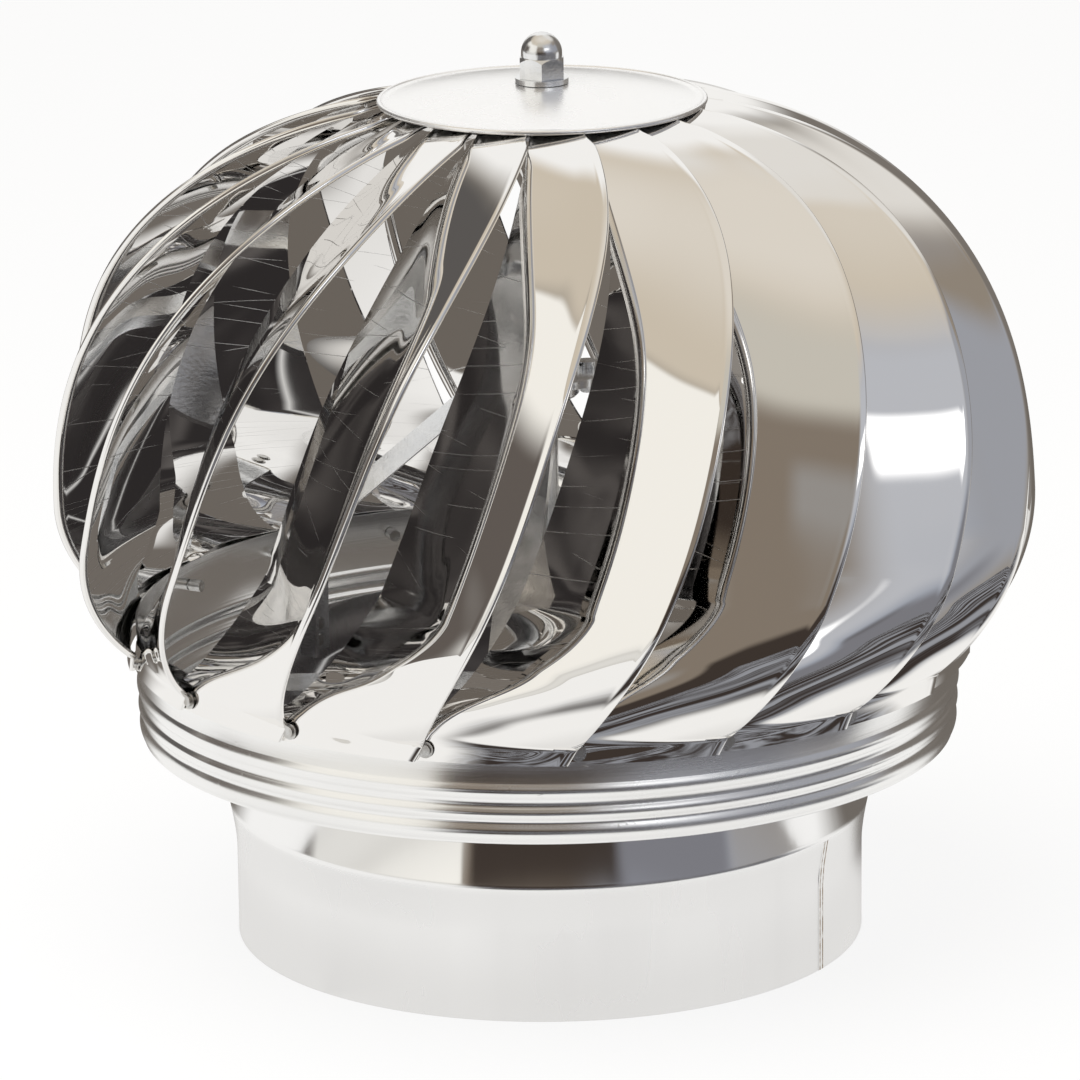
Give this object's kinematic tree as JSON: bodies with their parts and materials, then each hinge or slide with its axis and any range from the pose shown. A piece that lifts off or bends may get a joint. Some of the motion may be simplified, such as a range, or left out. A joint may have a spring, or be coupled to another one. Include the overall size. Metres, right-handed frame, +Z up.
{
  "type": "rotating chimney cowl",
  "caption": "Round wind-driven chimney cowl: a ball of swirled mirror-steel blades and a beaded band that spin on a fixed, flared flue collar.",
  "frame": {"origin": "centre of the collar's bottom rim, on the surface that the cowl stands on", "axes": "+Z up along the axis of rotation and of the flue; -Y is the front of the picture, +X its right side"},
  "size_m": [0.3876, 0.3852, 0.362],
  "materials": {
    "stainless": "polished stainless sheet",
    "mirror_stainless": "mirror-polished stainless sheet",
    "weld": "heat-tinted weld line",
    "zinc": "bright zinc plating",
    "steel": "plain steel"
  },
  "bodies": {
    "base": {"collar": "stainless", "seam_weld": "weld", "leg_1": "zinc", "leg_2": "zinc", "leg_3": "zinc", "leg_rivets": "steel", "hub": "zinc", "hub_bolts": "zinc", "lower_bracket": "zinc", "bracket_rivets": "steel", "upper_outer_ring": "steel", "lower_outer_ring": "steel"},
    "rotor": {"cap_disc": "stainless", "crown_plate": "stainless", "band": "stainless", "blade_01": "mirror_stainless", "blade_02": "mirror_stainless", "blade_03": "mirror_stainless", "blade_04": "mirror_stainless", "blade_05": "mirror_stainless", "blade_06": "mirror_stainless", "blade_07": "mirror_stainless", "blade_08": "mirror_stainless", "blade_09": "mirror_stainless", "blade_10": "mirror_stainless", "blade_11": "mirror_stainless", "blade_12": "mirror_stainless", "blade_13": "mirror_stainless", "blade_14": "mirror_stainless", "blade_15": "mirror_stainless", "blade_16": "mirror_stainless", "blade_17": "mirror_stainless", "blade_18": "mirror_stainless", "blade_rivets": "steel", "spindle": "zinc", "cap_nut": "zinc", "cap_washer": "zinc", "lock_nut": "zinc", "lock_washer": "zinc", "shoulder_nut": "zinc", "upper_inner_ring": "steel", "upper_balls": "steel", "lower_inner_ring": "steel", "lower_balls": "steel", "end_nut": "zinc", "end_washer": "zinc"}
  },
  "joints": [
    {"name": "rotor_spin", "type": "hinge", "parent": "base", "child": "rotor", "pos_m": [0, 0, 0.2], "axis": [0, 0, 1], "continuous": true}
  ]
}
